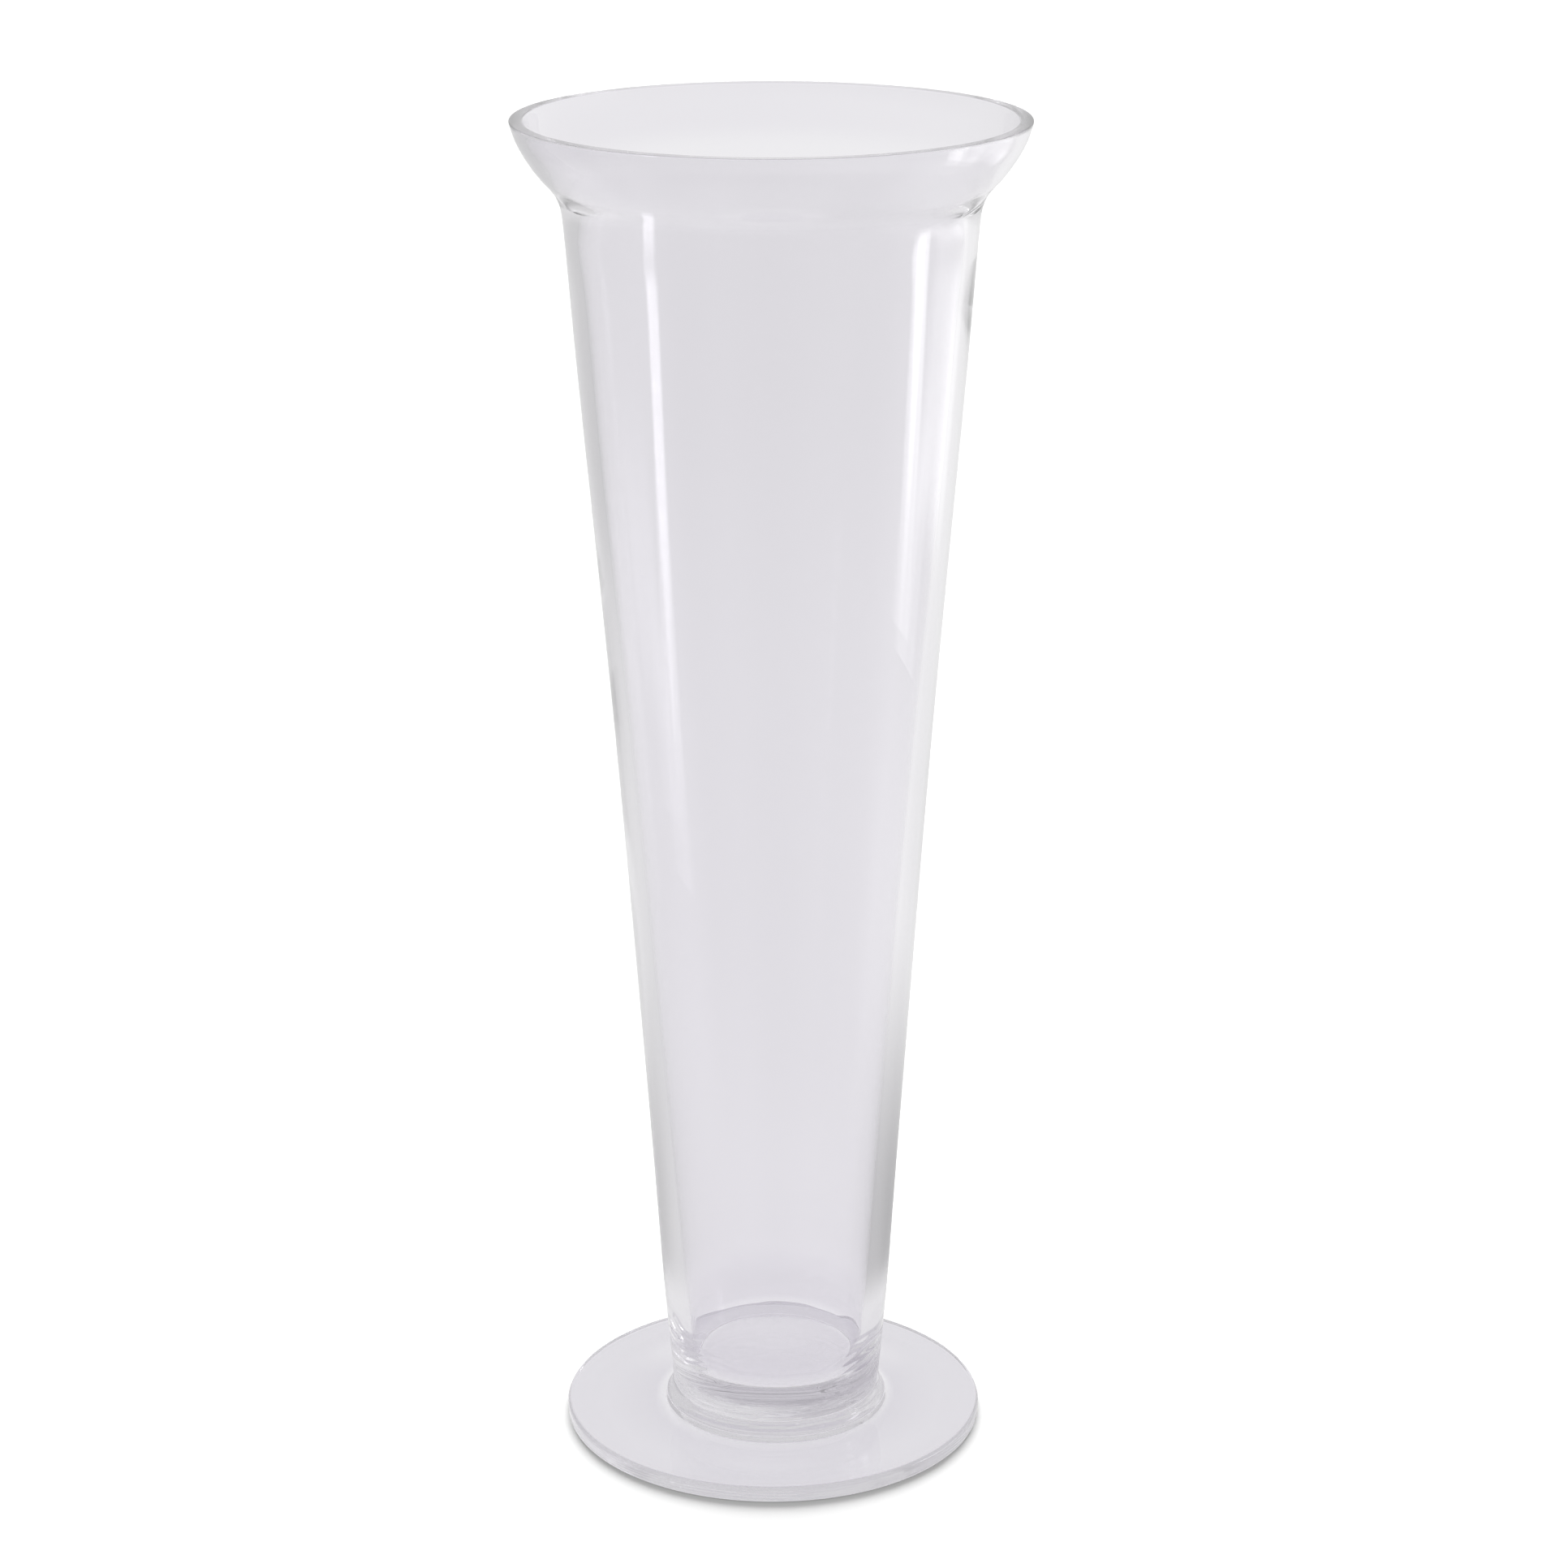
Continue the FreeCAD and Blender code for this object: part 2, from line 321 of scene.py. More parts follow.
@dataclass(frozen=True)
class RingMarks:
    """Rings that a tool leaves in hot glass, tilted, uneven and broken round the piece.

    Formula: depth * band(height) * sin(TURN * (height + slant) / pitch) * (1 - broken + broken * breaks), where slant
    wanders by tilt, and breaks goes from 0 to 1 with the tanh of break_sharpness times a wander.
    """

    low: float
    high: float
    pitch: float
    depth: float
    fade: float
    tilt: float
    broken: float
    seed: int
    tilt_turns: tuple[int, ...] = (1, 2, 3, 5)
    tilt_wavelength: float = 0.05
    break_turns: tuple[int, ...] = (1, 3, 4, 7)
    break_wavelength: float = 0.03
    break_sharpness: float = 2.0

    def at(self, angle: Array, height: Array) -> Array:
        """The offset of the surface.

        Args:
            angle: angles round the axis, in radians.
            height: heights, of a shape that broadcasts with angle.

        Returns:
            Offsets in metres.
        """
        slant = Wander(self.tilt, self.tilt_turns, self.tilt_wavelength, self.seed).at(angle, height)
        wander = Wander(1.0, self.break_turns, self.break_wavelength, self.seed + 1).at(angle, height)
        breaks = 0.5 + 0.5 * np.tanh(self.break_sharpness * wander)
        rings = np.sin(TURN * (height + slant) / self.pitch)
        whole = self.depth * band(height, self.low, self.high, self.fade) * rings
        return whole * (1.0 - self.broken + self.broken * breaks)


def revolved_mesh(name: str, radius: Array, height: Array, shift: Array) -> bpy.types.Mesh:
    """A closed surface of revolution from pole to pole.

    Formula: the vertex of row i and column j stands at (shift_i + r_ij * cos(a_j), r_ij * sin(a_j), z_ij), with
    a_j = TURN * j / columns. The first and last rows are single points on the axis. Faces run from each row to
    the next and point outwards when the outline goes from the pole below, round the outside, to the pole above.

    Args:
        name: the mesh's name.
        radius: r, an array of rows by columns.
        height: z, of the same shape.
        shift: how far each row's centre stands off the axis in X.

    Returns:
        The mesh, shaded smooth.
    """
    rows, columns = radius.shape
    angle = TURN * np.arange(columns) / columns
    x = shift[:, None] + radius * np.cos(angle)
    y = radius * np.sin(angle)
    inner = slice(1, rows - 1)
    rings = np.stack([x[inner], y[inner], height[inner]], axis=-1).reshape(-1, 3)
    poles = np.array([[shift[k], 0.0, height[k].mean()] for k in (0, -1)])
    vertices = np.vstack([rings, poles])
    low_pole, high_pole = len(rings), len(rings) + 1
    column = np.arange(columns)
    following = (column + 1) % columns
    base = (np.arange(rows - 3) * columns)[:, None]
    quads = np.stack(
        [base + column, base + following, base + columns + following, base + columns + column], axis=-1
    ).reshape(-1, 4)
    last = (rows - 3) * columns
    bottom = np.stack([np.full(columns, low_pole), following, column], axis=-1)
    top = np.stack([last + column, last + following, np.full(columns, high_pole)], axis=-1)
    loops = np.concatenate([bottom.ravel(), quads.ravel(), top.ravel()])
    totals = np.concatenate([np.full(columns, 3), np.full(len(quads), 4), np.full(columns, 3)])
    mesh = bpy.data.meshes.new(name)
    mesh.vertices.add(len(vertices))
    mesh.vertices.foreach_set("co", vertices.ravel())
    mesh.loops.add(len(loops))
    mesh.loops.foreach_set("vertex_index", loops.astype(np.int32))
    mesh.polygons.add(len(totals))
    mesh.polygons.foreach_set("loop_start", np.concatenate([[0], np.cumsum(totals)[:-1]]).astype(np.int32))
    mesh.polygons.foreach_set("loop_total", totals.astype(np.int32))
    mesh.polygons.foreach_set("use_smooth", np.ones(len(totals), bool))
    mesh.update(calc_edges=True)
    mesh.validate()
    return mesh


def grid_mesh(name: str, points: Array) -> bpy.types.Mesh:
    """An open sheet of quads through a grid of points.

    Args:
        name: the mesh's name.
        points: an array of rows by columns by 3.

    Returns:
        The mesh, shaded smooth.
    """
    rows, columns = points.shape[:2]
    corner = (np.arange(rows - 1)[:, None] * columns + np.arange(columns - 1)).ravel()
    faces = np.stack([corner, corner + 1, corner + columns + 1, corner + columns], axis=-1)
    mesh = bpy.data.meshes.new(name)
    mesh.from_pydata(points.reshape(-1, 3).tolist(), [], faces.tolist())
    mesh.polygons.foreach_set("use_smooth", np.ones(len(faces), bool))
    mesh.update()
    return mesh


def store_points(mesh: bpy.types.Mesh, name: str, values: Array) -> None:
    """Writes one number for each vertex of a mesh to a point attribute of that name."""
    mesh.attributes.new(name, "FLOAT", "POINT").data.foreach_set("value", values.astype(np.float32).ravel())


def placed(name: str, data: bpy.types.ID) -> bpy.types.Object:
    """Puts a new object at the scene's origin.

    Args:
        name: the object's name.
        data: its mesh, light or camera.

    Returns:
        The object.
    """
    thing = bpy.data.objects.new(name, data)
    bpy.context.scene.collection.objects.link(thing)
    return thing


# Nodes


@dataclass
class NodeSheet:
    """A node tree and the one move that every finish is built from: put down a node with its inputs joined."""

    tree: bpy.types.NodeTree

    def put(self, kind: str, inputs: dict[str | int, Value] | None = None, **settings: object) -> bpy.types.Node:
        """Puts down a node.

        Args:
            kind: the node's type, such as ShaderNodeMath.
            inputs: values, sockets, or nodes that stand for their first output, by the input's name or number.
            **settings: the node's own properties.

        Returns:
            The node.
        """
        node = self.tree.nodes.new(kind)
        for key, setting in settings.items():
            setattr(node, key, setting)
        for key, value in (inputs or {}).items():
            source = value.outputs[0] if isinstance(value, bpy.types.Node) else value
            if isinstance(source, bpy.types.NodeSocket):
                self.tree.links.new(source, node.inputs[key])
            else:
                node.inputs[key].default_value = source
        return node

    def math(self, operation: str, first: Value, second: Value = 0.0, clamp: bool = False) -> Socket:
        """The result of one Math node."""
        node = self.put("ShaderNodeMath", {0: first, 1: second}, operation=operation, use_clamp=clamp)
        return node.outputs[0]

    def ranged(self, value: Value, low: Value, high: Value, start: Value = 0.0, end: Value = 1.0) -> Socket:
        """A level that is eased from start to end while the value goes from low to high."""
        inputs = {0: value, 1: low, 2: high, 3: start, 4: end}
        return self.put("ShaderNodeMapRange", inputs, interpolation_type="SMOOTHSTEP").outputs[0]

    def place(self) -> Socket:
        """The point that is shaded, in the object's own coordinates."""
        return self.put("ShaderNodeTexCoord").outputs["Object"]

    def parts(self, vector: Socket) -> Sequence[Socket]:
        """The X, Y and Z of a vector."""
        return self.put("ShaderNodeSeparateXYZ", {0: vector}).outputs

    def noise(self, vector: Value, scale: float, detail: float) -> Socket:
        """Smooth noise between 0 and 1, with scale bumps to the metre."""
        return self.put("ShaderNodeTexNoise", {"Vector": vector, "Scale": scale, "Detail": detail}).outputs[0]

    def azimuth_level(self, place: Socket, levels: Pairs) -> Socket:
        """A level by the azimuth of a point or direction, eased between pairs of degrees and level.

        Args:
            place: the point or direction, whose azimuth is counted from the camera's side, positive to its right.
            levels: (degrees, level) pairs in rising order, the first at -180 and the last at 180.

        Returns:
            The level.
        """
        parts = self.parts(place)
        turn = self.math("ARCTAN2", parts[0], self.math("MULTIPLY", parts[1], -1.0))
        node = self.put("ShaderNodeValToRGB", {0: self.math("ADD", self.math("DIVIDE", turn, TURN), 0.5)})
        ramp = node.color_ramp
        ramp.interpolation = "EASE"
        ramp.elements[0].color = (levels[0][1],) * 3 + (1.0,)
        ramp.elements[-1].color = (levels[-1][1],) * 3 + (1.0,)
        for degrees, level in levels[1:-1]:
            ramp.elements.new(degrees / 360.0 + 0.5).color = (level,) * 3 + (1.0,)
        return node.outputs[0]


def new_group(name: str, inputs: dict[str, Value], outputs: dict[str, Value]) -> NodeSheet:
    """An empty shader node group with named sockets: colours where the default is a tuple, else numbers.

    Args:
        name: the group's name.
        inputs: each input's default, by its name.
        outputs: each output's default, by its name.

    Returns:
        The group as a sheet, with no nodes yet.
    """
    tree = bpy.data.node_groups.new(name, "ShaderNodeTree")
    for way, sockets in (("INPUT", inputs), ("OUTPUT", outputs)):
        for label, default in sockets.items():
            kind = "NodeSocketColor" if isinstance(default, tuple) else "NodeSocketFloat"
            tree.interface.new_socket(name=label, in_out=way, socket_type=kind).default_value = default
    return NodeSheet(tree)


def cleared(owner: bpy.types.Material | bpy.types.World) -> NodeSheet:
    """Turns on the nodes of a material or world and takes out what it starts with.

    Args:
        owner: the material or world.

    Returns:
        Its node tree as an empty sheet.
    """
    owner.use_nodes = True
    owner.node_tree.nodes.clear()
    return NodeSheet(owner.node_tree)


@dataclass
class GlassEffects:
    """The effects that the glass finishes share, each one node group built once."""

    depth_tint: bpy.types.NodeTree = field(init=False)
    melt_waves: bpy.types.NodeTree = field(init=False)
    handling_wear: bpy.types.NodeTree = field(init=False)

    def __post_init__(self) -> None:
        """Builds the groups."""
        self.depth_tint = self._depth_tint()
        self.melt_waves = self._melt_waves()
        self.handling_wear = self._handling_wear()

    def _depth_tint(self) -> bpy.types.NodeTree:
        """Colour by how much glass the light crosses.

        Formula: power is the wall over the reference wall, plus a little noise. The tint is taken to that power up
        to the thin share, times the greyer deep tint to what is left of the power.

        Returns:
            The group.
        """
        sheet = new_group(
            "glass_depth_tint",
            {
                "Tint": (0.87, 0.86, 0.885, 1.0),
                "Deep Tint": (0.87, 0.865, 0.875, 1.0),
                "Thin Share": 1.5,
                "Reference Wall": 4.5,
                "Wall": 4.5,
                "Cord Strength": 0.02,
            },
            {"Color": WHITE},
        )
        given = sheet.put("NodeGroupInput").outputs
        drawn = sheet.put("ShaderNodeMapping", {"Vector": sheet.place(), "Scale": (1.0, 1.0, 0.12)})
        cords = sheet.noise(drawn, scale=55.0, detail=3.0)
        swing = sheet.math("MULTIPLY", sheet.math("SUBTRACT", cords, 0.5), given["Cord Strength"])
        power = sheet.math("ADD", sheet.math("DIVIDE", given["Wall"], given["Reference Wall"]), swing)
        thin = sheet.math("MINIMUM", power, given["Thin Share"])
        thick = sheet.math("SUBTRACT", power, thin)
        first = sheet.put("ShaderNodeGamma", {"Color": given["Tint"], "Gamma": thin})
        second = sheet.put("ShaderNodeGamma", {"Color": given["Deep Tint"], "Gamma": thick})
        both = sheet.put("ShaderNodeMix", {0: 1.0, 6: first, 7: second}, data_type="RGBA", blend_type="MULTIPLY")
        sheet.put("NodeGroupOutput", {"Color": both.outputs[2]})
        return sheet.tree

    def _melt_waves(self) -> bpy.types.NodeTree:
        """The waves that fire polishing leaves.

        Formula: long noise * long waves + short noise * short waves, both drawn out in height by the stretch.

        Returns:
            The group, whose height is in metres.
        """
        sheet = new_group(
            "fire_polish_waves",
            {"Long Waves": 6e-6, "Short Waves": 5e-7, "Stretch": 0.35},
            {"Height": 0.0},
        )
        given = sheet.put("NodeGroupInput").outputs
        x, y, z = sheet.parts(sheet.place())
        drawn = sheet.put("ShaderNodeCombineXYZ", {0: x, 1: y, 2: sheet.math("MULTIPLY", z, given["Stretch"])})
        long_part = sheet.math("MULTIPLY", sheet.noise(drawn, scale=38.0, detail=1.0), given["Long Waves"])
        short_part = sheet.math("MULTIPLY", sheet.noise(drawn, scale=260.0, detail=2.0), given["Short Waves"])
        sheet.put("NodeGroupOutput", {"Height": sheet.math("ADD", long_part, short_part)})
        return sheet.tree

    def _handling_wear(self) -> bpy.types.NodeTree:
        """Roughness by height: fine scratches within a band of height, and polish everywhere else.

        Returns:
            The group.
        """
        sheet = new_group(
            "handling_wear",
            {"Band Low": 0.0, "Band High": 0.001, "Fade": 0.0003, "Worn Roughness": 0.12},
            {"Roughness": 0.0},
        )
        given = sheet.put("NodeGroupInput").outputs
        place = sheet.place()
        height = sheet.parts(place)[2]
        under = sheet.math("SUBTRACT", given["Band Low"], given["Fade"])
        over = sheet.math("ADD", given["Band High"], given["Fade"])
        rising = sheet.ranged(height, under, given["Band Low"])
        falling = sheet.ranged(height, given["Band High"], over, start=1.0, end=0.0)
        mask = sheet.math("MULTIPLY", rising, falling)
        scuffs = sheet.noise(place, scale=900.0, detail=4.0)
        patchy = sheet.ranged(scuffs, low=0.35, high=0.75, start=0.4, end=1.0)
        worn = sheet.math("MULTIPLY", sheet.math("MULTIPLY", mask, patchy), given["Worn Roughness"])
        sheet.put("NodeGroupOutput", {"Roughness": worn})
        return sheet.tree


@dataclass(frozen=True)
class ClearGlass:
    """The finish of one gather of glass: faint lavender-grey, fire polished, worn only where it is ground or stands."""

    name: str
    tint: Color = (0.906, 0.896, 0.921)
    deep_tint: Color = (0.904, 0.898, 0.910)
    reference_wall_mm: float = 4.5
    cord_strength: float = 0.04
    long_waves: float = 6e-6
    short_waves: float = 4e-7
    stretch: float = 0.3
    worn_band: Span = (0.3998, 0.41)
    worn_fade: float = 0.0001
    worn_roughness: float = 0.03
    ior: float = 1.5
    shade_facing: Span = (0.45, 0.98)
    shade_head_on: float = 1.0
    shade_grazing: float = 0.9

    def material(self, effects: GlassEffects) -> bpy.types.Material:
        """The material: glass to every ray but a shadow ray, which passes it weakened, more so at a grazing angle.

        Args:
            effects: the shared node groups.

        Returns:
            The material.
        """
        made = bpy.data.materials.new(self.name)
        sheet = cleared(made)
        tint = {
            "Tint": (*self.tint, 1.0),
            "Deep Tint": (*self.deep_tint, 1.0),
            "Reference Wall": self.reference_wall_mm,
            # The wall attribute brings painted shade and light along with the glass's thickness.
            "Wall": sheet.put("ShaderNodeAttribute", attribute_name=WALL_AND_SHADE_ATTRIBUTE).outputs["Fac"],
            "Cord Strength": self.cord_strength,
        }
        waves = {"Long Waves": self.long_waves, "Short Waves": self.short_waves, "Stretch": self.stretch}
        wear = {
            "Band Low": self.worn_band[0],
            "Band High": self.worn_band[1],
            "Fade": self.worn_fade,
            "Worn Roughness": self.worn_roughness,
        }
        relief = sheet.put("ShaderNodeGroup", waves, node_tree=effects.melt_waves)
        bump = sheet.put("ShaderNodeBump", {"Height": relief, "Strength": 1.0, "Distance": 1.0})
        glass = sheet.put(
            "ShaderNodeBsdfPrincipled",
            {
                "Base Color": sheet.put("ShaderNodeGroup", tint, node_tree=effects.depth_tint),
                "Roughness": sheet.put("ShaderNodeGroup", wear, node_tree=effects.handling_wear),
                "IOR": self.ior,
                "Transmission Weight": 1.0,
                "Normal": bump,
            },
        )
        facing = sheet.put("ShaderNodeLayerWeight", {"Blend": 0.5}).outputs["Facing"]
        level = sheet.ranged(facing, *self.shade_facing, self.shade_head_on, self.shade_grazing)
        shade = sheet.put("ShaderNodeCombineColor", {0: level, 1: level, 2: level})
        passed = sheet.put("ShaderNodeBsdfTransparent", {"Color": shade})
        shadow_ray = sheet.put("ShaderNodeLightPath").outputs["Is Shadow Ray"]
        mixed = sheet.put("ShaderNodeMixShader", {0: shadow_ray, 1: glass, 2: passed})
        sheet.put("ShaderNodeOutputMaterial", {"Surface": mixed})
        return made


def welded_material() -> bpy.types.Material:
    """The face where two gathers are fused: the glass goes on through it, so it bends and dims nothing.

    Returns:
        The material.
    """
    made = bpy.data.materials.new("fused_glass")
    sheet = cleared(made)
    through = sheet.put("ShaderNodeBsdfTransparent", {"Color": WHITE})
    sheet.put("ShaderNodeOutputMaterial", {"Surface": through})
    return made


# The three gathers of glass


@dataclass(frozen=True)
class Skin:
    """The smooth surface of a piece before hand work moves it, as arrays that broadcast to rows by columns."""

    radius: Array
    height: Array
    zone: Array
    angle: Array

    def on(self, zone: Zone) -> Array:
        """Whether each row lies on that zone."""
        return self.zone == zone.value


@dataclass
class Lean:
    """How far the axis of the glass stands off the true axis in X, by height: it was joined by eye."""

    at_joint: float = 0.9 * MM
    at_lip: float = -0.2 * MM
    joint_height: float = 0.010
    lip_height: float = 0.400

    def at(self, height: Array) -> Array:
        """The offset at each height, straight from the joint to the lip."""
        share = np.clip((height - self.joint_height) / (self.lip_height - self.joint_height), 0.0, 1.0)
        return self.at_joint + (self.at_lip - self.at_joint) * share


@dataclass
class GlassPiece:
    """One gather of glass: a closed surface of revolution that stands for one CAD node."""

    name: str
    node: str
    finish: ClearGlass
    rows: int = 400
    columns: int = 240
    bend_share: float = 0.3
    still_radius: float = 4.0 * MM
    lean: Lean = field(default_factory=Lean)

    def outline(self) -> Outline:
        """The piece's half section."""
        raise NotImplementedError

    def unevenness(self, skin: Skin) -> tuple[Array, Array]:
        """How far hand work moved each vertex outwards and upwards, as two arrays of rows by columns."""
        raise NotImplementedError

    def wall(self, skin: Skin) -> Array:
        """The depth of the glass's tint at each vertex, in millimetres, of a shape that broadcasts to rows by columns:
        the glass's thickness, and in places painted shade and light.
        """
        raise NotImplementedError

    def shift(self, radius: Array, height: Array) -> Array:
        """How far each row's centre stands off the axis."""
        return self.lean.at(height)

    def reach(self) -> tuple[float, float, float]:
        """The base and the top of the CAD node, and the radius that fits in its box."""
        low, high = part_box(self.node)
        return low.z, high.z, min(high.x, -low.x, high.y, -low.y)

    def build(self, effects: GlassEffects, welded: bpy.types.Material) -> bpy.types.Object:
        """Makes the piece, dresses it and puts it in the place of its CAD node.

        Formula: each vertex of the revolved outline moves by its unevenness, eased to nothing at the axis within
        still_radius, so that the poles stay closed.

        Args:
            effects: the shared node groups.
            welded: the material of fused faces.

        Returns:
            The finished object.
        """
        section, zone = self.outline().rows(self.rows, self.bend_share)
        radius, height = section[:, 0], section[:, 1]
        angle = TURN * np.arange(self.columns)[None, :] / self.columns
        skin = Skin(radius[:, None], height[:, None], zone[:, None], angle)
        outwards, upwards = self.unevenness(skin)
        free = eased(skin.radius, 0.0, self.still_radius)
        shift = self.shift(radius, height)
        mesh = revolved_mesh(self.name, skin.radius + outwards * free, skin.height + upwards * free, shift)
        self._store_wall(mesh, self.wall(skin))
        piece = placed(self.name, mesh)
        mesh.materials.append(self.finish.material(effects))
        mesh.materials.append(welded)
        self._assign_faces(mesh, zone)
        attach(piece, "root")
        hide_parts(self.node)
        return piece

    def _store_wall(self, mesh: bpy.types.Mesh, wall: Array) -> None:
        """Writes the tint depth, painted shade and light included, to the mesh as a point attribute, ring by ring and
        then the two poles.
        """
        wall = np.broadcast_to(wall, (self.rows, self.columns))
        store_points(mesh, WALL_AND_SHADE_ATTRIBUTE, np.concatenate([wall[1:-1].ravel(), wall[[0, -1], 0]]))

    def _assign_faces(self, mesh: bpy.types.Mesh, zone: Array) -> None:
        """Gives each face between two rows of the weld zone the fused finish, and every other face the clear one.

        Args:
            mesh: the piece's mesh.
            zone: the zone number of each row.
        """
        fused = (zone[:-1] == Zone.WELD.value) & (zone[1:] == Zone.WELD.value)
        index = np.where(fused, Finish.WELDED.value, Finish.CLEAR.value)
        mesh.polygons.foreach_set("material_index", np.repeat(index, self.columns).astype(np.int32))


@dataclass(frozen=True)
class HeelShadeStreak:
    """A painted dark streak in the heel, the shade that its refraction shows: a band of height whose tint is deepened
    as if the glass were thicker, on one side of the axis.
    """

    low: float
    high: float
    side_deg: float
    side_cosines: Span
    extra_mm: float
    fade: float = 3.0 * MM

    def wall(self, skin: Skin) -> Array:
        """Extra millimetres of tint depth, which paint the shade: extra_mm * band(height) * eased(cosine of the angle
        from its side).
        """
        side = eased(np.cos(skin.angle - math.radians(self.side_deg)), *self.side_cosines)
        return self.extra_mm * band(skin.height, self.low, self.high, self.fade) * side


@dataclass
class BlownBowl(GlassPiece):
    """The hollow bowl: a long cone on a solid heel, a crease, and a cup that opens to a flat polished lip.

    The side and the bore are (height, radius) pairs, and the walls are tables of heights and millimetres of glass tint:
    above the heel they give the real wall, and over the solid heel they give painted shade and painted light, bands of
    darker and lighter tint.
    """

    heel_radius: float = 31.5 * MM
    heel_round: float = 0.6 * MM
    heel_top: Span = (33.3 * MM, 30.0 * MM)
    lip_width: float = 4.0 * MM
    lip_arris: float = 0.55 * MM
    lip_inset: float = 0.25 * MM
    floor_height: float = 20.0 * MM
    floor_radius: float = 25.0 * MM
    floor_round: float = 0.5 * MM
    side_mm: Pairs = (
        (20.0, 32.4), (40.0, 34.1), (70.0, 36.1), (140.0, 40.9), (220.0, 46.7), (300.0, 53.4), (345.0, 57.1),
        (362.0, 58.35), (371.0, 59.1), (376.0, 59.9), (379.5, 61.4), (384.0, 65.2), (390.0, 69.6), (394.5, 72.0),
    )
    bore_mm: Pairs = (
        (24.0, 25.75), (33.0, 26.8), (45.0, 27.9), (70.0, 29.75), (140.0, 35.1), (220.0, 42.0), (300.0, 49.2),
        (350.0, 53.4), (366.0, 54.7), (374.0, 55.4), (379.0, 57.1), (384.0, 61.2), (390.0, 65.5), (395.0, 68.3),
    )
    outer_waves: Wander = Wander(0.05 * MM, (2, 3, 4, 5), 0.35, 11)
    inner_waves: Wander = Wander(0.07 * MM, (2, 3, 4, 6), 0.30, 23)
    waves_start: Span = (12.0 * MM, 60.0 * MM)
    waves_end: Span = (380.0 * MM, 398.0 * MM)
    heel_waves: Wander = Wander(0.05 * MM, tuple(range(1, 15)), 1.5 * MM, 31)
    heel_band: tuple[float, float, float] = (11.5 * MM, 15.5 * MM, 1.5 * MM)
    heel_creases: RingMarks = RingMarks(21.0 * MM, 30.0 * MM, 2.6 * MM, 0.10 * MM, 4.0 * MM, 3.4 * MM, 1.0, 37)
    crease_side_cosines: Span = (0.3, 0.8)
    crease_front_sines: Span = (-0.25, 0.1)
    bore_marks: RingMarks = RingMarks(26.0 * MM, 36.0 * MM, 2.4 * MM, 0.12 * MM, 3.0 * MM, 0.8 * MM, 0.8, 41)
    bed_waves: Wander = Wander(0.05 * MM, (1, 2, 3), 0.02, 53)
    bed_top: Span = (20.5 * MM, 24.0 * MM)
    # Tint depth outside by height: over the solid heel it is painted shade and light, a lighter band near 18 mm and a
    # darker one from 24 to 30 mm; above the heel it is the real wall.
    outer_wall_and_shade: Table = (
        (0.010, 0.016, 0.018, 0.022, 0.024, 0.030, 0.042, 0.070, 0.220, 0.400),
        (5.0, 4.0, 1.5, 3.0, 8.0, 7.5, 5.2, 4.8, 4.5, 4.3),
    )
    # Tint depth inside by height: a lighter band at the floor's corner, painted light, and a darker one from 25 to 32
    # mm, painted shade; above that it is the real wall.
    inner_wall_and_shade: Table = (
        (0.020, 0.0225, 0.025, 0.032, 0.042, 0.070, 0.220, 0.400),
        (1.5, 1.5, 8.0, 9.5, 5.5, 4.8, 4.5, 4.3),
    )
    floor_wall_mm: float = 9.5
    floor_margin: float = 1.0 * MM
    # Painted shade: dark streaks of deeper tint on one side of the heel.
    cords: tuple[HeelShadeStreak, ...] = (
        HeelShadeStreak(17.3 * MM, 20.8 * MM, -65.0, (-0.1, 0.7), 25.0),
        HeelShadeStreak(12.0 * MM, 15.5 * MM, -45.0, (0.5, 0.95), 14.0),
    )
    cup_wall_mm: float = 2.6
    cup_rise: Span = (382.0 * MM, 389.0 * MM)
    cup_thick_side_deg: float = 110.0
    lip_wall_mm: float = 18.0

    def outline(self) -> Outline:
        """Up the side from the fused face, over the lip, down the bore and in to the middle of its floor.

        Returns:
            The outline.
        """
        base, top, fit = self.reach()
        rim = fit - self.lip_inset
        lip_inner = rim - self.lip_width
        side = np.array([(r, z) for z, r in self.side_mm]) * MM
        bore = np.array([(r, z) for z, r in self.bore_mm])[::-1] * MM
        floor_edge = (self.floor_radius, self.floor_height)
        return Outline(
            [
                Run([(0.0, base), (self.heel_radius, base)], Zone.WELD, self.heel_round, detail=0.4),
                Run([(self.heel_radius, base), *side[:1], self.heel_top], Zone.OUTSIDE, detail=6.0),
                Run([self.heel_top, *side[1:], (rim, top)], Zone.OUTSIDE, self.lip_arris),
                Run([(rim, top), (lip_inner, top)], Zone.EDGE, self.lip_arris, detail=2.0),
                Run([(lip_inner, top), *bore], Zone.INSIDE),
                Run([bore[-1], floor_edge], Zone.INSIDE, self.floor_round, detail=5.0),
                Run([floor_edge, (0.0, self.floor_height)], Zone.INSIDE, detail=1.5),
            ]
        )

    def unevenness(self, skin: Skin) -> tuple[Array, Array]:
        """Slow waves on both faces of the wall, tool marks on the heel and in the bore, and a wavy floor.

        Formula: the sum of these marks, each held to its own face and eased in and out by height. The heel's creases
        are eased by angle too, and show at the sides and the front.

        Args:
            skin: the smooth surface.

        Returns:
            The offsets outwards and upwards.
        """
        inside, outside = skin.on(Zone.INSIDE), skin.on(Zone.OUTSIDE)
        height, angle = skin.height, skin.angle
        calm = eased(height, *self.waves_start) * (1.0 - eased(height, *self.waves_end))
        waves = outside * self.outer_waves.at(angle, height) + inside * self.inner_waves.at(angle, height)
        heel = band(height, *self.heel_band) * self.heel_waves.at(angle, height)
        sides = eased(np.abs(np.cos(angle)), *self.crease_side_cosines)
        sides = sides * eased(-np.sin(angle), *self.crease_front_sines)
        outwards = calm * waves + outside * (heel + sides * self.heel_creases.at(angle, height))
        outwards = outwards + inside * self.bore_marks.at(angle, height)
        bed = inside * (1.0 - eased(height, *self.bed_top))
        return outwards, bed * self.bed_waves.at(angle, skin.radius)

